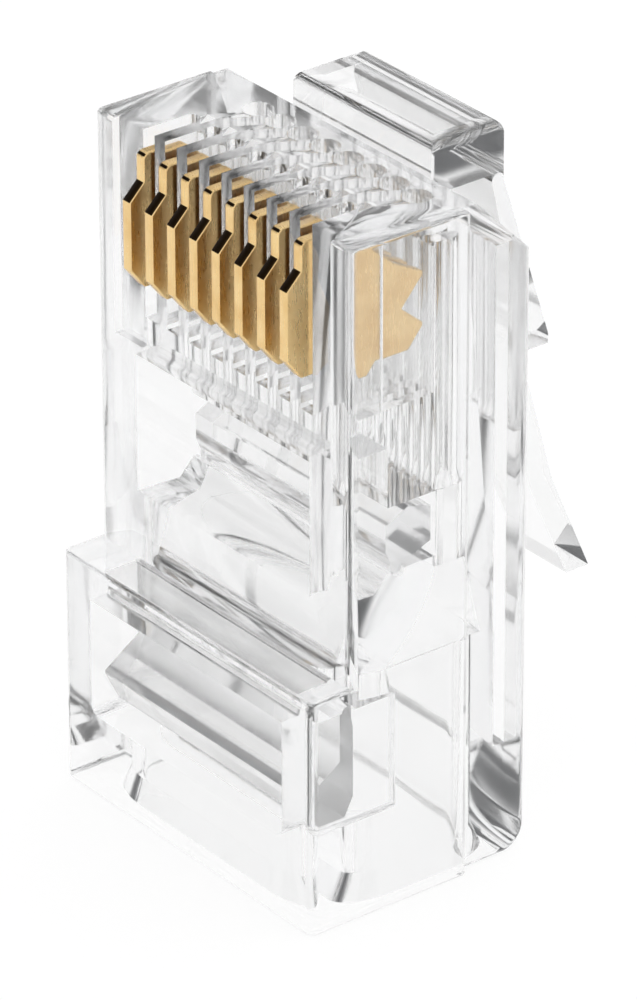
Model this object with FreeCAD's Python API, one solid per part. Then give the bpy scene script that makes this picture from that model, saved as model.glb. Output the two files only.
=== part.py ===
import FreeCAD, Part
import math
import os

# Eight-position modular plug (8P8C) as supplied, before it is crimped onto a cable.
#
# Frame, in millimetres: +Z runs from the cable end to the nose, X along the row of contacts,
# -Y is the side of the contacts and +Y the side of the latch. The origin is the middle of the
# cable entry in the rear face, which the plug stands on. The housing, the latch and the two
# clamp bars are one moulding of clear polycarbonate; the latch and the bars are separate solids
# because they move about their thin webs. The eight contact blades are pressed metal.

os.makedirs("parts", exist_ok=True)

# --- Housing: outside -------------------------------------------------------------------------
body_width = 11.68
rear_depth = 8.00  # thickness of the cable end, contact side to latch side
nose_depth = 6.60  # thickness of the part that enters the jack
rear_length = 7.57  # length of the thick cable end
body_length = 21.16
flank_relief = 0.23  # the latch half of each flank stands back by this
flank_relief_depth = 2.45  # measured from the latch face
nose_chamfer = 2.05
heel_radius = 0.80  # rear edge on the latch side
corner_radius = 0.28  # edges along the plug
edge_radius = 0.12  # edges round the two ends
latch_channel_width = 6.90
latch_channel_depth = 0.45
latch_channel_start = 3.00

# --- Contacts and their slots -----------------------------------------------------------------
contact_count = 8
contact_pitch = 1.02
contact_thickness = 0.35
contact_clearance = 0.015  # blade to slot, each side
contact_proud = 0.58  # blade's land above the contact face before crimping
crimped_depth = 0.58  # blade's land below that face after crimping
blade_height = 4.16
blade_depth = 3.90  # land to tine tips
blade_nose_gap = 0.50  # nose face to the top of the blade
blade_land_rise = 0.65  # bottom of the blade to the foot of the land
blade_land = 2.13  # height of the land, which the jack's springs touch
blade_set_back = 0.50  # land to the upper part of the edge, by a slope of 45 degrees
blade_toe = 0.52  # land to the level bottom, along the sloping toe
blade_nose_radius = 0.22
blade_shoulder = 1.85  # land to the end of the level top
blade_neck = 2.90  # land to the root of the upper tine
blade_neck_drop = 0.96  # top of the blade to that root
blade_sole = 2.00  # land to the end of the level bottom
blade_waist = 2.30  # land to the raised part of the bottom
blade_waist_rise = 0.38
upper_tine_drop = 1.59  # top of the blade to the upper tine's tip
lower_tine_rise = 1.00  # bottom of the blade to the lower tine's tip
notch_rise = 1.72  # bottom of the blade to the root of the notch
notch_depth = 0.73
tine_tip_flat = 0.10
tine_heel = 0.50  # slope under the lower tine
blade_run = 0.03  # blade to the closed ends of its slot
groove_width = 0.54
groove_depth = 2.00
groove_length = 5.86  # open at the nose; the blade slots share its foot
slot_heel = 0.65  # slope at the foot of a blade slot
comb_width = 9.90  # sunk field round the grooves, between two side rails
comb_recess = 0.25
comb_start = 14.47

# --- Conductor path ---------------------------------------------------------------------------
channel_diameter = 0.92
channel_axis_depth = 2.50  # latch face to the row of channel axes
channel_start = 12.30
channel_end_wall = 1.20
channel_lead_in = 0.35
channel_lead_over = 0.04  # lead-in beyond the line between two channels
slot_width = 8.25
slot_height = 1.02
slot_floor_drop = 0.10  # floor of the conductor slot below the channels
slot_corner_radius = 0.30
slot_start = 9.90
cavity_width = 8.40
cavity_floor_wall = 1.25  # latch-side wall of the cable cavity
cavity_height = 4.65
cavity_length = 7.25
cavity_corner_radius = 1.30
mouth_flare = 0.40
funnel_ledge = 1.15  # step from the cable cavity to the funnel, on the contact side
funnel_bow = 0.35  # how far the contact side of the funnel bows outwards

# --- Cable clamp bar and its window -----------------------------------------------------------
cable_window_width = 9.00
cable_window_foot = 2.68
cable_window_head = 6.45
cable_window_reach = 3.50  # rear contact face to the inner end of the window's side walls
cable_window_corner = 0.30
bar_side_gap = 0.12  # either clamp bar to the sides of its window
bar_web_radius = 0.20  # round root of a clamp bar's web
web_clearance = 0.02
cable_bar_hinge_depth = 1.82  # rear contact face to the hinge line
cable_bar_neck = 0.30  # hinge line to the bar's shoulders
cable_bar_foot_gap = 0.30  # bar to the foot of its window
cable_bar_ridge_rise = 1.35  # foot of the window to the bar's outer ridge
cable_bar_ridge_gap = 0.42  # bar's ridge inside the rear contact face
cable_bar_ridge_flat = 0.12
cable_bar_slope = 0.81  # height of the slope above the ridge
cable_bar_toe = 1.20  # thickness of the bar at its lower end
cable_bar_heel = 0.60  # height of the bevel at the lower inner edge

# --- Conductor clamp bar and its window -------------------------------------------------------
wire_window_width = 8.00
wire_window_foot = 9.77
wire_window_head = 14.15
wire_window_depth = 2.00
wire_sill_drop = 0.08  # the window's sill falls by this towards its ramp
wire_ramp_depth = 0.48  # ramp from the sill up to the clamp bar's room
wire_bar_axis_height = 11.25
wire_bar_size = 1.58
wire_bar_room = 0.24  # free space above and below the bar
wire_bar_bevel = 0.80  # outer face to the bar's upper and lower corners
wire_bar_outer_face = 0.80
wire_bar_inner_face = 1.10
wire_bar_hinge_depth = 0.36  # bar's outer face to the hinge line
wire_bar_set_back = 0.02  # inner edge of the window to the bar

# --- Latch ------------------------------------------------------------------------------------
latch_width = 6.20
latch_tab_width = 3.25
latch_root_thickness = 0.42
latch_thickness = 0.84
root_block_rise = 0.80  # root block above the nose face
root_block_overhang = 0.98  # root block beyond the latch face
root_block_drop = 1.65  # height of the root block
root_block_depth = 2.60
root_block_radius = 0.45
latch_hinge_drop = 0.22  # underside of the root block to the hinge line
latch_shoulder_height = 14.42
latch_shoulder_reach = 2.68  # latch face to the outer edge of the shoulder
latch_bend_height = 8.95
latch_bend_reach = 4.14
latch_tip_height = 5.66
latch_tip_reach = 5.57
latch_shoulder_land = 0.30  # upright edge of the shoulder
latch_tab_root = 0.60  # tab's overlap into the leaf

# --- Tools of the cuts ------------------------------------------------------------------------
cut_past = 1.00  # how far a cut runs on beyond an outer face
cut_overlap = 0.05  # how far two joined cuts run into each other
same_place = 1e-6

# --- Derived places ---------------------------------------------------------------------------
half_width = body_width / 2
latch_face = cavity_floor_wall + cavity_height / 2
rear_contact_face = latch_face - rear_depth
contact_face = latch_face - nose_depth
flank_line = latch_face - flank_relief_depth
blade_front = contact_face - contact_proud
blade_top = body_length - blade_nose_gap
blade_bottom = blade_top - blade_height
groove_foot = body_length - groove_length
contact_travel = contact_proud + crimped_depth
channel_axis = latch_face - channel_axis_depth
channel_end = body_length - channel_end_wall
slot_floor = channel_axis + channel_diameter / 2 + slot_floor_drop
slot_roof = slot_floor - slot_height
cavity_floor = cavity_height / 2
cavity_roof = -cavity_height / 2
wire_window_back = contact_face + wire_window_depth
cable_bar_width = cable_window_width - 2 * bar_side_gap
wire_bar_width = wire_window_width - 2 * bar_side_gap
cable_hinge_y = rear_contact_face + cable_bar_hinge_depth
cable_hinge_z = cable_window_head - web_clearance
wire_bar_outer = wire_window_back + wire_bar_set_back
wire_hinge_y = wire_bar_outer + wire_bar_hinge_depth
wire_room_half = wire_bar_size / 2 + wire_bar_room
wire_hinge_z = wire_bar_axis_height - wire_room_half + web_clearance
latch_root_outer = latch_face + root_block_overhang
latch_hinge_y = latch_root_outer - latch_root_thickness / 2
latch_hinge_z = body_length + root_block_rise - root_block_drop - latch_hinge_drop


def box(x0, x1, y0, y1, z0, z1):
    """Box between two corners."""
    corner = FreeCAD.Vector(x0, y0, z0)
    return Part.makeBox(x1 - x0, y1 - y0, z1 - z0, corner)


def centred_box(width, y0, y1, z0, z1):
    """Box of a width that is centred on the plug's middle plane."""
    return box(-width / 2, width / 2, y0, y1, z0, z1)


def side_profile(points, width, middle=0.0):
    """Prism along X from a closed outline of (y, z) points; a point may be an arc's middle."""
    start = middle - width / 2
    edges = []
    index = 0
    while index < len(points):
        first = points[index]
        second = points[(index + 1) % len(points)]
        a = FreeCAD.Vector(start, first[0], first[1])
        b = FreeCAD.Vector(start, second[0], second[1])
        if len(second) == 3:
            third = points[(index + 2) % len(points)]
            c = FreeCAD.Vector(start, third[0], third[1])
            edges.append(Part.Arc(a, b, c).toShape())
            index += 2
        else:
            edges.append(Part.LineSegment(a, b).toShape())
            index += 1
    face = Part.Face(Part.Wire(edges))
    return face.extrude(FreeCAD.Vector(width, 0, 0))


def arc_middle(centre_y, centre_z, radius, degrees):
    """Point on a circle that marks the middle of an arc in a side profile."""
    angle = math.radians(degrees)
    return (centre_y + radius * math.cos(angle), centre_z + radius * math.sin(angle), "arc")


def edges_along(shape, axis):
    """Straight edges of a solid that run along one axis (0, 1 or 2 for X, Y or Z)."""
    found = []
    for edge in shape.Edges:
        if not isinstance(edge.Curve, Part.Line):
            continue
        if abs(abs(edge.Curve.Direction[axis]) - 1) < 1e-6:
            found.append(edge)
    return found


def contact_positions():
    """X of the middle of each contact, from left to right."""
    first = -contact_pitch * (contact_count - 1) / 2
    return [first + contact_pitch * index for index in range(contact_count)]


def housing_outside():
    """Stepped body with relieved flanks, a chamfered nose and rounded edges."""
    outline = [
        (rear_contact_face, 0),
        (latch_face - heel_radius, 0),
        arc_middle(latch_face - heel_radius, heel_radius, heel_radius, -45),
        (latch_face, heel_radius),
        (latch_face, body_length - nose_chamfer),
        (latch_face - nose_chamfer, body_length),
        (contact_face, body_length),
        (contact_face, rear_length),
        (rear_contact_face, rear_length),
    ]
    body = side_profile(outline, body_width)
    for side in (-1, 1):
        inner = side * (half_width - flank_relief)
        outer = side * (half_width + cut_past)
        relief = box(
            min(inner, outer),
            max(inner, outer),
            flank_line,
            latch_face + cut_past,
            -cut_past,
            body_length + cut_past,
        )
        body = body.cut(relief)
    long_edges = []
    for edge in edges_along(body, 2):
        middle = edge.CenterOfMass
        on_outer_corner = abs(middle.x) > half_width - flank_relief - same_place
        at_relief_step = abs(middle.y - flank_line) < same_place
        if on_outer_corner and not at_relief_step:
            long_edges.append(edge)
    body = body.makeFillet(corner_radius, long_edges)
    end_edges = []
    for edge in body.Edges:
        bounds = edge.BoundBox
        flat = bounds.ZLength < same_place
        at_rear = abs(bounds.ZMax) < same_place
        at_nose = abs(bounds.ZMin - body_length) < same_place
        at_step = abs(bounds.ZMin - rear_length) < same_place and bounds.YMin < contact_face - corner_radius
        if flat and (at_rear or at_nose or at_step) and bounds.YMax < flank_line + same_place:
            end_edges.append(edge)
    return body.makeFillet(edge_radius, end_edges)


def web_seat(width, radius, y, z):
    """Round seat that a moving piece's web root turns in, with its running clearance."""
    start = FreeCAD.Vector(-width / 2, y, z)
    return Part.makeCylinder(radius + web_clearance, width, start, FreeCAD.Vector(1, 0, 0))


def root_block():
    """Block at the nose that the latch springs from, with a seat for the latch's web."""
    top = body_length + root_block_rise
    outer = latch_root_outer
    block = centred_box(latch_width, outer - root_block_depth, outer, top - root_block_drop, top)
    rounded = [edge for edge in block.Edges if edge.BoundBox.ZMin > top - same_place]
    block = block.makeFillet(root_block_radius, rounded)
    web = centred_box(
        latch_width,
        outer - latch_root_thickness,
        outer,
        latch_hinge_z,
        top - root_block_drop + edge_radius,
    )
    block = block.fuse(web).removeSplitter()
    seat_width = latch_width + 2 * cut_past
    return block.cut(web_seat(seat_width, latch_root_thickness / 2, latch_hinge_y, latch_hinge_z))


def latch_channel():
    """Shallow channel in the latch face that gives the pressed latch its room."""
    return centred_box(
        latch_channel_width,
        latch_face - latch_channel_depth,
        latch_face + cut_past,
        latch_channel_start,
        body_length - nose_chamfer - edge_radius,
    )


def comb_field():
    """Sunk field round the contact grooves, open at the nose."""
    return centred_box(
        comb_width,
        contact_face - cut_past,
        contact_face + comb_recess,
        comb_start,
        body_length + cut_past,
    )


def contact_groove(x):
    """Groove that is open to the contact side and the nose, with a round inner end."""
    radius = groove_width / 2
    inner = contact_face + groove_depth - radius
    straight = box(
        x - radius,
        x + radius,
        contact_face - cut_past,
        inner,
        groove_foot,
        body_length + cut_past,
    )
    round_end = Part.makeCylinder(radius, groove_length + cut_past, FreeCAD.Vector(x, inner, groove_foot))
    return straight.fuse(round_end)


def blade_slot(x):
    """Tight slot that guides a blade from its raised to its crimped place."""
    crimped_front = blade_front + contact_travel
    high = blade_top + blade_run
    shoulder = crimped_front + blade_shoulder + blade_run
    tips = crimped_front + blade_depth + blade_run
    tip_top = blade_top - upper_tine_drop + tine_tip_flat + blade_run
    outline = [
        (contact_face - cut_past, groove_foot),
        (tips - slot_heel, groove_foot),
        (tips, groove_foot + slot_heel),
        (tips, tip_top),
        (shoulder, high),
        (contact_face - cut_past, high),
    ]
    return side_profile(outline, contact_thickness + 2 * contact_clearance, x)


def wire_channel(x):
    """Blind hole for one conductor, with a conical lead-in."""
    base = FreeCAD.Vector(x, channel_axis, channel_start - cut_overlap)
    hole = Part.makeCylinder(channel_diameter / 2, channel_end - channel_start + cut_overlap, base)
    lead = Part.makeCone(
        contact_pitch / 2 + channel_lead_over,
        channel_diameter / 2,
        channel_lead_in,
        FreeCAD.Vector(x, channel_axis, channel_start),
    )
    return hole.fuse(lead)


def conductor_slot():
    """Flat slot in which the conductors lie side by side in front of their channels."""
    slot = centred_box(slot_width, slot_roof, slot_floor, slot_start - cut_overlap, channel_start)
    return slot.makeFillet(slot_corner_radius, edges_along(slot, 2))


def funnel():
    """Passage that narrows from the cable cavity to the conductor slot."""
    ledge = cavity_roof + funnel_ledge
    middle_y = (ledge + slot_roof) / 2 + funnel_bow
    middle_z = (cavity_length + slot_start) / 2
    outline = [
        (ledge, cavity_length - cut_overlap),
        (middle_y, middle_z, "arc"),
        (slot_roof, slot_start),
        (slot_floor, slot_start),
        (cavity_floor, cavity_length - cut_overlap),
    ]
    return side_profile(outline, slot_width)


def cable_cavity():
    """Round-cornered cavity for the cable's jacket, with a flared mouth."""
    cavity = centred_box(cavity_width, cavity_roof, cavity_floor, -cut_past, cavity_length)
    cavity = cavity.makeFillet(cavity_corner_radius, edges_along(cavity, 2))
    wide = centred_box(
        cavity_width + 2 * mouth_flare,
        cavity_roof - mouth_flare,
        cavity_floor + mouth_flare,
        -cut_past,
        cut_past,
    )
    wide = wide.makeFillet(cavity_corner_radius + mouth_flare, edges_along(wide, 2))
    wide_face = [face for face in wide.Faces if face.BoundBox.ZMax < -cut_past + same_place][0]
    narrow_face = [face for face in cavity.Faces if face.BoundBox.ZMax < -cut_past + same_place][0]
    outer_wire = wide_face.OuterWire.copy()
    inner_wire = narrow_face.OuterWire.copy()
    outer_wire.translate(FreeCAD.Vector(0, 0, cut_past))
    inner_wire.translate(FreeCAD.Vector(0, 0, cut_past + 2 * mouth_flare))
    flare = Part.makeLoft([outer_wire, inner_wire], True)
    return cavity.fuse(flare)


def cable_window():
    """Window through the rear contact face in which the cable clamp bar turns."""
    window = centred_box(
        cable_window_width,
        rear_contact_face - cut_past,
        rear_contact_face + cable_window_reach,
        cable_window_foot,
        cable_window_head,
    )
    foot_line = cable_window_foot + same_place
    lower_corners = [edge for edge in edges_along(window, 1) if edge.BoundBox.ZMax < foot_line]
    return window.makeFillet(cable_window_corner, lower_corners)


def wire_window():
    """Window in front of the conductors, and the room in which their clamp bar turns."""
    room_foot = wire_bar_axis_height - wire_room_half
    room_head = wire_bar_axis_height + wire_room_half
    outline = [
        (contact_face - cut_past, wire_window_foot),
        (contact_face, wire_window_foot),
        (wire_window_back - wire_ramp_depth, wire_window_foot - wire_sill_drop),
        (wire_window_back, room_foot),
        (wire_window_back, wire_window_head),
        (contact_face - cut_past, wire_window_head),
    ]
    window = side_profile(outline, wire_window_width)
    room = centred_box(
        wire_window_width,
        wire_window_back - cut_overlap,
        slot_roof + cut_overlap,
        room_foot,
        room_head,
    )
    return window.fuse(room)


def make_housing():
    """Clear moulded housing."""
    body = housing_outside()
    tools = [latch_channel(), cable_cavity(), funnel(), conductor_slot(), cable_window(), wire_window()]
    tools.append(comb_field())
    tools.append(web_seat(cable_window_width, bar_web_radius, cable_hinge_y, cable_hinge_z))
    tools.append(web_seat(wire_window_width, bar_web_radius, wire_hinge_y, wire_hinge_z))
    for x in contact_positions():
        tools += [contact_groove(x), blade_slot(x), wire_channel(x)]
    body = body.cut(tools)
    body = body.fuse(root_block())
    return body.removeSplitter()


def make_contact(x):
    """Pressed contact blade: a raised land, a set-back upper edge and two piercing tines."""
    tips = blade_front + blade_depth
    upper_tip = blade_top - upper_tine_drop
    lower_tip = blade_bottom + lower_tine_rise
    land_foot = blade_bottom + blade_land_rise
    land_head = land_foot + blade_land
    upper_front = blade_front + blade_set_back
    nose_y = upper_front + blade_nose_radius
    nose_z = blade_top - blade_nose_radius
    waist_z = blade_bottom + blade_waist_rise
    outline = [
        (blade_front, land_foot),
        (blade_front, land_head),
        (upper_front, land_head + blade_set_back),
        (upper_front, nose_z),
        arc_middle(nose_y, nose_z, blade_nose_radius, 135),
        (nose_y, blade_top),
        (blade_front + blade_shoulder, blade_top),
        (blade_front + blade_neck, blade_top - blade_neck_drop),
        (tips, upper_tip + tine_tip_flat),
        (tips, upper_tip),
        (tips - notch_depth, blade_bottom + notch_rise),
        (tips, lower_tip + tine_tip_flat),
        (tips, lower_tip),
        (tips - tine_heel, waist_z),
        (blade_front + blade_waist, waist_z),
        (blade_front + blade_sole, blade_bottom),
        (blade_front + blade_toe, blade_bottom),
    ]
    return side_profile(outline, contact_thickness, x)


def make_cable_bar():
    """Cable clamp bar: a ridged wedge that hangs from its web at the head of the window."""
    inner = cavity_roof - web_clearance
    foot = cable_window_foot + cable_bar_foot_gap
    shoulder = cable_hinge_z - cable_bar_neck
    ridge = cable_window_foot + cable_bar_ridge_rise
    ridge_y = rear_contact_face + cable_bar_ridge_gap
    toe = inner - cable_bar_toe
    outline = [
        (cable_hinge_y - bar_web_radius, cable_hinge_z),
        (cable_hinge_y, cable_hinge_z + bar_web_radius, "arc"),
        (cable_hinge_y + bar_web_radius, cable_hinge_z),
        (cable_hinge_y + bar_web_radius, shoulder),
        (inner, shoulder - cable_bar_neck),
        (inner, foot + cable_bar_heel),
        (inner - cable_bar_neck, foot),
        (toe, foot),
        (ridge_y, ridge - cable_bar_ridge_flat),
        (ridge_y, ridge),
        (cable_hinge_y - bar_web_radius, ridge + cable_bar_slope),
    ]
    return side_profile(outline, cable_bar_width)


def make_wire_bar():
    """Conductor clamp bar: a six-sided bar on a web at its lower outer corner."""
    half = wire_bar_size / 2
    inner = wire_bar_outer + wire_bar_size
    crown = wire_bar_outer + wire_bar_bevel
    web_outer = wire_hinge_y - bar_web_radius
    web_inner = wire_hinge_y + bar_web_radius
    outline = [
        (web_outer, wire_hinge_z),
        (web_outer, wire_bar_axis_height - half),
        (wire_bar_outer, wire_bar_axis_height - wire_bar_outer_face / 2),
        (wire_bar_outer, wire_bar_axis_height + wire_bar_outer_face / 2),
        (crown, wire_bar_axis_height + half),
        (inner, wire_bar_axis_height + wire_bar_inner_face / 2),
        (inner, wire_bar_axis_height - wire_bar_inner_face / 2),
        (crown + bar_web_radius, wire_bar_axis_height - half),
        (web_inner, wire_bar_axis_height - half),
        (web_inner, wire_hinge_z),
        (wire_hinge_y, wire_hinge_z - bar_web_radius, "arc"),
    ]
    return side_profile(outline, wire_bar_width)


def make_latch():
    """Sprung latch: a wide leaf that steps at its shoulders to the finger tab."""
    outer_root = latch_root_outer
    inner_root = outer_root - latch_root_thickness
    shoulder_y = latch_face + latch_shoulder_reach
    bend_y = latch_face + latch_bend_reach
    tip_y = latch_face + latch_tip_reach
    leaf = [
        (inner_root, latch_hinge_z),
        (latch_hinge_y, latch_hinge_z + latch_root_thickness / 2, "arc"),
        (outer_root, latch_hinge_z),
        (shoulder_y, latch_shoulder_height + latch_shoulder_land),
        (shoulder_y, latch_shoulder_height),
        (shoulder_y - latch_thickness, latch_shoulder_height),
    ]
    tab = [
        (shoulder_y - latch_thickness, latch_shoulder_height + latch_tab_root),
        (shoulder_y - latch_thickness / 4, latch_shoulder_height + latch_tab_root),
        (bend_y, latch_bend_height),
        (tip_y, latch_tip_height),
        (tip_y - latch_thickness, latch_tip_height),
        (bend_y - latch_thickness, latch_bend_height),
    ]
    wide = side_profile(leaf, latch_width)
    narrow = side_profile(tab, latch_tab_width)
    return wide.fuse(narrow).removeSplitter()


def export(shape, name):
    """Write one node as a STEP file."""
    shape.exportStep("parts/" + name + ".step")
    print(name, "valid", shape.isValid(), "solids", len(shape.Solids), "mm3", round(shape.Volume, 3))


export(make_housing(), "housing")
export(make_latch(), "release_latch")
export(make_cable_bar(), "cable_clamp_bar")
export(make_wire_bar(), "conductor_clamp_bar")
for number, position in enumerate(contact_positions(), start=1):
    export(make_contact(position), "contact_" + str(number))
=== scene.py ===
"""Visual model of an eight-way modular plug, as supplied before it is crimped.

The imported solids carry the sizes. This script gives them their finish: one clear moulding with
its latch and its two clamp bars, and eight gold-plated contact blades in a row of slots.
"""
import logging
import math
from dataclasses import dataclass, field
from enum import Enum
from typing import Any, Dict, List, Optional, Tuple

import bpy
import bmesh
import numpy as np
from mathutils import Euler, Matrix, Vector


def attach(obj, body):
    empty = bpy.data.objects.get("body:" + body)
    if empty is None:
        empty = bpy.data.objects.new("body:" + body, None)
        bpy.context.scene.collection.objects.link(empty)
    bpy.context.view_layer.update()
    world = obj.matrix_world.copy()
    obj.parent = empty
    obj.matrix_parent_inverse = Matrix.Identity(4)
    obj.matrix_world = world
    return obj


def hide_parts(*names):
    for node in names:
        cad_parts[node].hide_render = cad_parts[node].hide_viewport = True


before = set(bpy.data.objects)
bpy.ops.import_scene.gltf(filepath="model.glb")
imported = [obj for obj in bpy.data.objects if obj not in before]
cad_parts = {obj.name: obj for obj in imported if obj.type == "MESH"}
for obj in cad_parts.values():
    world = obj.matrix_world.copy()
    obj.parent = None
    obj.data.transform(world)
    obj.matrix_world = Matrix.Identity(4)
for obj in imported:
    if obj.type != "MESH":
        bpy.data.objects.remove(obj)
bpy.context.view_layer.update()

LOG = logging.getLogger("modular_plug")
MM = 0.001  # one millimetre in scene units
WELD_GAP = 0.0005 * MM  # corners closer than this are one corner
FLAT_ANGLE = 0.2  # faces that meet within this many degrees are one flat
FLAT_WEIGHT = 90  # how much more a large face counts at a corner than a small one

Colour = Tuple[float, float, float, float]
Point = Tuple[float, float, float]
Band = Tuple[float, float]

MIDDLE_BAND: Band = (0.3, 0.7)  # most of a noise lies between these values


class Hue(Enum):
    """Named sRGB colours of the plug and of the studio round it."""

    RESIN = "#FFFFFF"
    RESIN_SHADE = "#FAFAFA"
    RESIN_HAZE = "#FFFFFF"
    RESIN_DEPTH = "#E6E8EA"
    GOLD = "#F4D49A"
    GOLD_SHADE = "#DAAE6C"
    # near-black painted on the blades' up-facing slopes: painted dark reflection of the room's
    # dark corner
    PAINTED_DARK_SLOPE = "#3A2A18"
    PAINTED_DARK_SLOPE_DEEP = "#1E150C"
    CARD = "#FFFFFF"
    ROOM = "#FFFFFF"
    ROOM_DARK = "#2A2D31"


def linear(hue: Hue) -> Colour:
    """Turn a named sRGB colour into the renderer's linear values.

    Args:
        hue: The colour, as a six-digit hex value.

    Returns:
        Red, green and blue on the linear scale, and an opacity of one.
    """
    channels = np.array([int(hue.value[i:i + 2], 16) for i in (1, 3, 5)]) / 255.0
    low = channels / 12.92
    high = ((channels + 0.055) / 1.055) ** 2.4
    red, green, blue = np.where(channels <= 0.04045, low, high)
    return (float(red), float(green), float(blue), 1.0)


def add_node(tree: bpy.types.NodeTree, kind: str, settings: Optional[Dict[str, Any]] = None,
             inputs: Optional[Dict[Any, Any]] = None) -> bpy.types.Node:
    """Add one node, set it up and link it.

    Args:
        tree: The node tree that takes the node.
        kind: The node's type name.
        settings: Properties of the node itself.
        inputs: For each input, by name or number, a value or the output that feeds it.

    Returns:
        The new node.
    """
    node = tree.nodes.new(kind)
    for name, value in (settings or {}).items():
        setattr(node, name, value)
    for key, value in (inputs or {}).items():
        if isinstance(value, bpy.types.NodeSocket):
            tree.links.new(value, node.inputs[key])
        else:
            node.inputs[key].default_value = value
    return node


def new_material(name: str) -> Tuple[bpy.types.Material, bpy.types.NodeTree]:
    """Make an empty node material.

    Args:
        name: The material's name.

    Returns:
        The material and its cleared node tree.
    """
    material = bpy.data.materials.new(name)
    material.use_nodes = True
    material.node_tree.nodes.clear()
    return material, material.node_tree


def add_noise(tree: bpy.types.NodeTree, vector: bpy.types.NodeSocket, size: float,
              detail: float) -> bpy.types.NodeSocket:
    """Add a noise whose spots have a given size.

    Args:
        tree: The node tree that takes the noise.
        vector: The output that gives the place.
        size: The size of a spot.
        detail: How many finer layers lie on top.

    Returns:
        The noise's value.
    """
    node = add_node(tree, "ShaderNodeTexNoise", inputs={
        "Vector": vector, "Scale": 1.0 / size, "Detail": detail})
    return node.outputs["Fac"]


def add_spread(tree: bpy.types.NodeTree, source: bpy.types.NodeSocket, reach: Band,
               band: Band = MIDDLE_BAND) -> bpy.types.NodeSocket:
    """Stretch one band of a noise over a range of values.

    Args:
        tree: The node tree that takes the node.
        source: The noise's value.
        reach: The lowest and highest value wanted.
        band: The part of the noise that is stretched over them.

    Returns:
        The stretched value.
    """
    node = add_node(tree, "ShaderNodeMapRange", inputs={
        "Value": source, "From Min": band[0], "From Max": band[1],
        "To Min": reach[0], "To Max": reach[1]})
    return node.outputs["Result"]


def add_blend(tree: bpy.types.NodeTree, share: bpy.types.NodeSocket, first: Hue,
              second: Hue) -> bpy.types.NodeSocket:
    """Blend two colours.

    Args:
        tree: The node tree that takes the node.
        share: The output that gives the second colour's share.
        first: The colour at a share of nothing.
        second: The colour at a share of one.

    Returns:
        The blended colour.
    """
    # A colour mix has its share on input 0 and its two colours on inputs 6 and 7.
    node = add_node(tree, "ShaderNodeMix", {"data_type": "RGBA"}, {
        0: share, 6: linear(first), 7: linear(second)})
    return node.outputs[2]


@dataclass(frozen=True)
class MouldedPolycarbonate:
    """Clear polycarbonate from a polished mould.

    The eye gets full clearness with a strong bend of light at each edge, a faint grey in long
    paths through the resin, weak flow waves in the skin and a breath of haze.
    """

    ior: float = 1.585
    roughness: Band = (0.03, 0.085)
    flow_wave: float = 2.6 * MM  # length of a flow wave along the moulding
    wave_strength: float = 0.10
    wave_height: float = 0.03 * MM
    haze: float = 0.02  # share of light that the skin spreads
    depth_density: float = 15.0  # absorption over one metre of resin

    def build(self, name: str) -> bpy.types.Material:
        """Build the resin.

        Args:
            name: The material's name.

        Returns:
            The finished material.
        """
        material, tree = new_material(name)
        place = add_node(tree, "ShaderNodeTexCoord")
        flow = add_noise(tree, place.outputs["Object"], self.flow_wave, 1.0)
        waves = add_node(tree, "ShaderNodeBump", inputs={
            "Height": flow, "Strength": self.wave_strength, "Distance": self.wave_height})
        surface = add_node(tree, "ShaderNodeBsdfPrincipled", inputs={
            "Base Color": add_blend(tree, flow, Hue.RESIN, Hue.RESIN_SHADE),
            "Roughness": add_spread(tree, flow, self.roughness),
            "IOR": self.ior, "Transmission Weight": 1.0, "Normal": waves.outputs["Normal"]})
        bloom = add_node(tree, "ShaderNodeBsdfDiffuse", inputs={"Color": linear(Hue.RESIN_HAZE)})
        hazy = add_node(tree, "ShaderNodeMixShader", inputs={
            0: self.haze, 1: surface.outputs[0], 2: bloom.outputs[0]})
        depth = add_node(tree, "ShaderNodeVolumeAbsorption", inputs={
            "Color": linear(Hue.RESIN_DEPTH), "Density": self.depth_density})
        add_node(tree, "ShaderNodeOutputMaterial", inputs={
            "Surface": hazy.outputs[0], "Volume": depth.outputs[0]})
        return material


@dataclass(frozen=True)
class GoldPlatedBronze:
    """Hard gold over phosphor bronze, on a blade punched from strip.

    The eye gets a warm metal with a soft gloss, fine streaks along the strip and browner
    patches where the plating is thinner.
    """

    roughness: Band = (0.24, 0.38)
    streak: float = 0.06 * MM  # spacing of the rolling streaks
    streak_pull: Point = (1.0, 1.0, 0.12)  # drawn out along the strip
    streak_strength: float = 0.25
    streak_height: float = 0.006 * MM
    patch: float = 0.8 * MM  # size of the patches where the plating is thinner
    patch_band: Band = (0.35, 0.75)  # noise from no patch to a full one
    patch_shade: float = 0.55  # share of the browner colour in a full patch

    def build(self, name: str = "gold_plated_phosphor_bronze") -> bpy.types.Material:
        """Build the plating.

        Args:
            name: The material's name.

        Returns:
            The finished material.
        """
        material, tree = new_material(name)
        place = add_node(tree, "ShaderNodeTexCoord")
        along = add_node(tree, "ShaderNodeMapping", {"vector_type": "POINT"}, {
            "Vector": place.outputs["Object"], "Scale": self.streak_pull})
        streaks = add_noise(tree, along.outputs[0], self.streak, 2.0)
        patches = add_noise(tree, place.outputs["Object"], self.patch, 3.0)
        thinning = add_spread(tree, patches, (0.0, self.patch_shade), self.patch_band)
        lines = add_node(tree, "ShaderNodeBump", inputs={
            "Height": streaks, "Strength": self.streak_strength,
            "Distance": self.streak_height})
        surface = add_node(tree, "ShaderNodeBsdfPrincipled", inputs={
            "Base Color": add_blend(tree, thinning, Hue.GOLD, Hue.GOLD_SHADE),
            "Metallic": 1.0, "Roughness": add_spread(tree, streaks, self.roughness),
            "Normal": lines.outputs["Normal"]})
        add_node(tree, "ShaderNodeOutputMaterial", inputs={"Surface": surface.outputs[0]})
        return material


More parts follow.
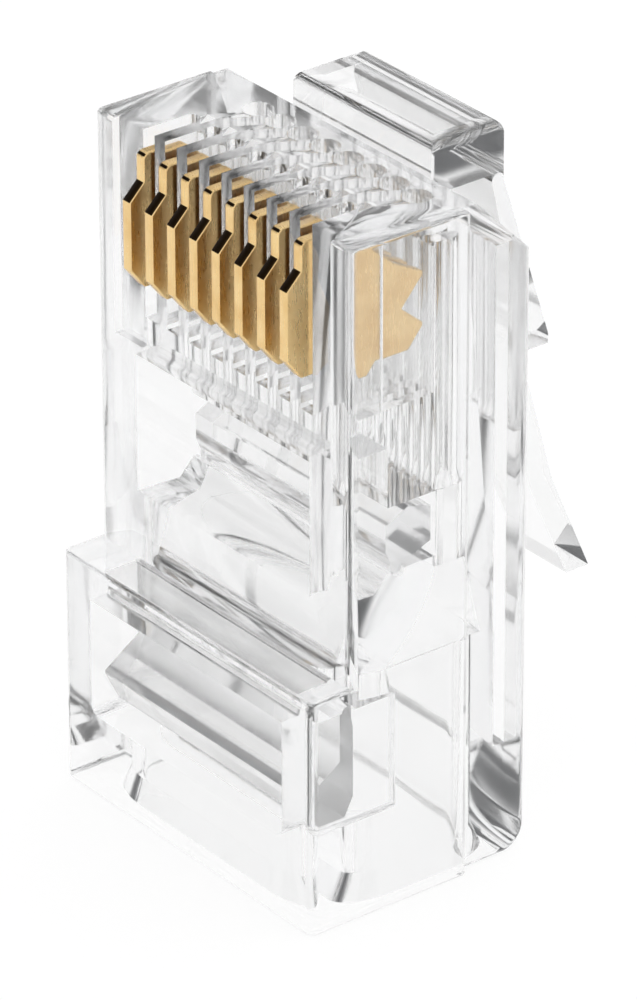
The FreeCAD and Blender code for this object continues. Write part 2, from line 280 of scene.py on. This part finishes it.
@dataclass(frozen=True)
class PaintedDarkSlopeBronze:
    """Near-black metal on the coined slope above each blade's land: painted dark reflection of
    the room's dark corner that these slopes face.

    The eye gets a dull brown-black with a faint warm sheen, unlike the gold round it.
    """

    roughness: Band = (0.30, 0.50)
    grain: float = 0.12 * MM

    def build(self, name: str = "painted_dark_slope_bronze") -> bpy.types.Material:
        """Build the metal with the painted dark reflection.

        Args:
            name: The material's name.

        Returns:
            The finished material.
        """
        material, tree = new_material(name)
        place = add_node(tree, "ShaderNodeTexCoord")
        spots = add_noise(tree, place.outputs["Object"], self.grain, 2.0)
        surface = add_node(tree, "ShaderNodeBsdfPrincipled", inputs={
            "Base Color": add_blend(tree, spots, Hue.PAINTED_DARK_SLOPE, Hue.PAINTED_DARK_SLOPE_DEEP),
            "Metallic": 1.0, "Roughness": add_spread(tree, spots, self.roughness)})
        add_node(tree, "ShaderNodeOutputMaterial", inputs={"Surface": surface.outputs[0]})
        return material


@dataclass(frozen=True)
class StudioCard:
    """Matt white card that the plug stands on.

    The eye gets an even white with only a breath of shadow under the plug.
    """

    glow: float = 0.88  # even white that the eye sees
    shadow_share: float = 0.16  # real, shaded card on top of it
    fibre: float = 0.4 * MM  # size of the card's fibres
    fibre_strength: float = 0.05
    fibre_height: float = 0.01 * MM

    def build(self, name: str = "matt_white_card") -> bpy.types.Material:
        """Build the card.

        Args:
            name: The material's name.

        Returns:
            The finished material.
        """
        material, tree = new_material(name)
        place = add_node(tree, "ShaderNodeTexCoord")
        fibres = add_noise(tree, place.outputs["Object"], self.fibre, 4.0)
        grain = add_node(tree, "ShaderNodeBump", inputs={
            "Height": fibres, "Strength": self.fibre_strength, "Distance": self.fibre_height})
        matt = add_node(tree, "ShaderNodeBsdfDiffuse", inputs={
            "Color": linear(Hue.CARD), "Normal": grain.outputs["Normal"]})
        faint = add_node(tree, "ShaderNodeMixShader", inputs={
            0: self.shadow_share, 2: matt.outputs[0]})
        white = add_node(tree, "ShaderNodeEmission", inputs={
            "Color": linear(Hue.CARD), "Strength": self.glow})
        seen_card = add_node(tree, "ShaderNodeAddShader", inputs={
            0: faint.outputs[0], 1: white.outputs[0]})
        path = add_node(tree, "ShaderNodeLightPath")
        seen = add_node(tree, "ShaderNodeMath", {"operation": "MAXIMUM"}, {
            0: path.outputs["Is Camera Ray"], 1: path.outputs["Is Transmission Ray"]})
        seen = add_node(tree, "ShaderNodeMath", {"operation": "MAXIMUM"}, {
            0: seen.outputs[0], 1: path.outputs["Is Glossy Ray"]})
        mixed = add_node(tree, "ShaderNodeMixShader", inputs={
            0: seen.outputs[0], 1: matt.outputs[0], 2: seen_card.outputs[0]})
        add_node(tree, "ShaderNodeOutputMaterial", inputs={"Surface": mixed.outputs[0]})
        return material


def merged_copy(node: str, name: str, smooth_angle: float) -> bpy.types.Object:
    """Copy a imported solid, weld its loose triangles and smooth it up to an angle.

    Flat faces become single polygons, and each corner takes the direction of the largest face
    that meets there, so the flats stay true and only the rounds are shaded as curves.

    Args:
        node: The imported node.
        name: The new piece's name.
        smooth_angle: Edges sharper than this, in degrees, stay sharp.

    Returns:
        The new object, at the origin, with its place in its mesh.
    """
    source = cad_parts[node]
    mesh = source.data.copy()
    mesh.name = name
    work = bmesh.new()
    work.from_mesh(mesh)
    bmesh.ops.remove_doubles(work, verts=work.verts, dist=WELD_GAP)
    bmesh.ops.dissolve_limit(work, angle_limit=math.radians(FLAT_ANGLE), verts=work.verts,
                             edges=work.edges)
    work.to_mesh(mesh)
    work.free()
    mesh.materials.clear()
    mesh.shade_smooth()
    mesh.set_sharp_from_angle(angle=math.radians(smooth_angle))
    piece = bpy.data.objects.new(name, mesh)
    bpy.context.scene.collection.objects.link(piece)
    weight = piece.modifiers.new("true_flats", "WEIGHTED_NORMAL")
    weight.keep_sharp = True
    weight.weight = FLAT_WEIGHT
    return piece


@dataclass(frozen=True)
class MouldedPart:
    """One part of the moulding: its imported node, its body and its finish."""

    node: str
    body: str
    finish: str


@dataclass
class ClearMoulding:
    """The one clear moulding: housing, release latch and the two clamp bars."""

    polished: MouldedPolycarbonate = field(default_factory=MouldedPolycarbonate)
    eroded: MouldedPolycarbonate = field(default_factory=lambda: MouldedPolycarbonate(
        roughness=(0.14, 0.24), haze=0.04))
    smooth_angle: float = 32.0
    parts: Tuple[MouldedPart, ...] = (
        MouldedPart("housing", "plug_body", "polished"),
        MouldedPart("release_latch", "latch", "polished"),
        MouldedPart("cable_clamp_bar", "cable_clamp", "eroded"),
        MouldedPart("conductor_clamp_bar", "conductor_clamp", "polished"))

    def build(self) -> List[bpy.types.Object]:
        """Build and dress every part of the moulding.

        Returns:
            The new pieces, each riding on its body.
        """
        resins = {"polished": self.polished.build("polished_clear_polycarbonate"),
                  "eroded": self.eroded.build("spark_eroded_clear_polycarbonate")}
        pieces = []
        for part in self.parts:
            piece = merged_copy(part.node, "clear_" + part.node, self.smooth_angle)
            piece.data.materials.append(resins[part.finish])
            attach(piece, part.body)
            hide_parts(part.node)
            LOG.info("%s rides on %s: %d faces", piece.name, part.body, len(piece.data.polygons))
            pieces.append(piece)
        return pieces


@dataclass
class BladeRow:
    """The row of eight contact blades."""

    count: int = 8
    finish: GoldPlatedBronze = field(default_factory=GoldPlatedBronze)
    # near-black painted dark reflection for the up-facing slopes
    painted_slope: PaintedDarkSlopeBronze = field(default_factory=PaintedDarkSlopeBronze)
    painted_slope_share: float = 0.5  # a slope that faces outwards and upwards by more than this gets the painted dark reflection
    smooth_angle: float = 30.0
    edge_round: float = 0.05 * MM  # die roll along the sheared edges
    edge_angle: float = 40.0  # edges sharper than this, in degrees, are rounded
    edge_steps: int = 2

    def build(self) -> List[bpy.types.Object]:
        """Build and dress the blades.

        Returns:
            The new pieces, each riding on its body.
        """
        plating = self.finish.build()
        painted_slope = self.painted_slope.build()
        pieces = []
        for number in range(1, self.count + 1):
            node = f"contact_{number}"
            piece = merged_copy(node, f"gold_blade_{number}", self.smooth_angle)
            rounding = piece.modifiers.new("die_roll", "BEVEL")
            rounding.width = self.edge_round
            rounding.segments = self.edge_steps
            rounding.limit_method = "ANGLE"
            rounding.angle_limit = math.radians(self.edge_angle)
            piece.modifiers.move(1, 0)  # the edges are rounded before the flats are weighted
            piece.data.materials.append(plating)
            piece.data.materials.append(painted_slope)
            # faces that face up and outwards take the near-black painted dark reflection
            for face in piece.data.polygons:
                if face.normal.z > self.painted_slope_share and face.normal.y < -self.painted_slope_share:
                    face.material_index = 1
            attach(piece, f"blade_{number}")
            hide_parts(node)
            LOG.info("%s rides on blade_%d", piece.name, number)
            pieces.append(piece)
        return pieces


@dataclass
class Studio:
    """White card, white room with one soft dark corner, and the camera."""

    card_half_width: float = 0.6
    azimuth: float = 52.228
    elevation: float = 28.117
    roll: float = -0.20
    distance: float = 209.46 * MM
    target: Point = (0.0, -0.425 * MM, 10.5 * MM)
    focal_length: float = 265.69
    sensor_width: float = 36.0
    clip: Band = (0.01, 10.0)  # nearest and farthest distance that is drawn
    shift: Tuple[float, float] = (0.0234, -0.0072)
    room_level: float = 1.0
    dark_side: Point = (-0.70, -0.47, 0.54)  # the unlit corner of the room
    dark_core: float = 6.0  # degrees from that corner to where the dark begins to lift
    dark_edge: float = 34.0  # degrees to where the room is white
    bounces: int = 18  # faces of clear resin that one ray may cross
    gloss_bounces: int = 8

    def build_camera(self) -> bpy.types.Object:
        """Place the camera on its sphere round the target.

        Returns:
            The camera.
        """
        turn, rise = math.radians(self.azimuth), math.radians(self.elevation)
        away = Vector((math.sin(turn) * math.cos(rise), -math.cos(turn) * math.cos(rise),
                       math.sin(rise)))
        data = bpy.data.cameras.new("studio_camera")
        data.lens = self.focal_length
        data.sensor_width = self.sensor_width
        data.shift_x, data.shift_y = self.shift
        data.clip_start, data.clip_end = self.clip
        camera = bpy.data.objects.new("studio_camera", data)
        camera.location = Vector(self.target) + away * self.distance
        look = (-away).to_track_quat("-Z", "Y").to_matrix()
        tilt = Euler((0.0, 0.0, math.radians(self.roll))).to_matrix()
        camera.rotation_euler = (look @ tilt).to_euler()
        bpy.context.scene.collection.objects.link(camera)
        bpy.context.scene.camera = camera
        return camera

    def build_card(self) -> bpy.types.Object:
        """Lay the white card under the plug.

        Returns:
            The card.
        """
        half = self.card_half_width
        corners = np.array([(-half, -half, 0), (half, -half, 0), (half, half, 0),
                            (-half, half, 0)])
        mesh = bpy.data.meshes.new("studio_card")
        mesh.from_pydata(corners.tolist(), [], [(0, 1, 2, 3)])
        mesh.materials.append(StudioCard().build())
        card = bpy.data.objects.new("studio_card", mesh)
        bpy.context.scene.collection.objects.link(card)
        return card

    def build_world(self) -> None:
        """Light the room: white all round, with one soft dark corner for the clear resin to bend.

        The camera itself sees plain white behind the plug.
        """
        world = bpy.data.worlds.new("studio_room")
        bpy.context.scene.world = world
        world.use_nodes = True
        tree = world.node_tree
        tree.nodes.clear()
        direction = add_node(tree, "ShaderNodeTexCoord")
        towards_dark = add_node(tree, "ShaderNodeVectorMath", {"operation": "DOT_PRODUCT"}, {
            0: direction.outputs["Generated"], 1: tuple(Vector(self.dark_side).normalized())})
        depth = add_node(tree, "ShaderNodeMapRange", {"interpolation_type": "SMOOTHSTEP"}, {
            "Value": towards_dark.outputs["Value"],
            "From Min": math.cos(math.radians(self.dark_edge)),
            "From Max": math.cos(math.radians(self.dark_core)),
            "To Min": 0.0, "To Max": 1.0})
        room = add_node(tree, "ShaderNodeBackground", inputs={
            "Color": add_blend(tree, depth.outputs["Result"], Hue.ROOM, Hue.ROOM_DARK),
            "Strength": self.room_level})
        white = add_node(tree, "ShaderNodeBackground", inputs={
            "Color": linear(Hue.CARD), "Strength": 1.0})
        path = add_node(tree, "ShaderNodeLightPath")
        mixed = add_node(tree, "ShaderNodeMixShader", inputs={
            0: path.outputs["Is Camera Ray"], 1: room.outputs[0], 2: white.outputs[0]})
        add_node(tree, "ShaderNodeOutputWorld", inputs={"Surface": mixed.outputs[0]})

    def build(self) -> None:
        """Set up the whole studio."""
        scene = bpy.context.scene
        scene.view_settings.view_transform = "Standard"
        scene.cycles.max_bounces = self.bounces
        scene.cycles.transmission_bounces = self.bounces
        scene.cycles.glossy_bounces = self.gloss_bounces
        self.build_camera()
        self.build_card()
        self.build_world()


def main() -> None:
    """Build the plug and its studio, in order."""
    logging.basicConfig(level=logging.INFO, format="%(name)s: %(message)s")
    Studio().build()
    ClearMoulding().build()
    BladeRow().build()


if __name__ == "__main__":
    main()
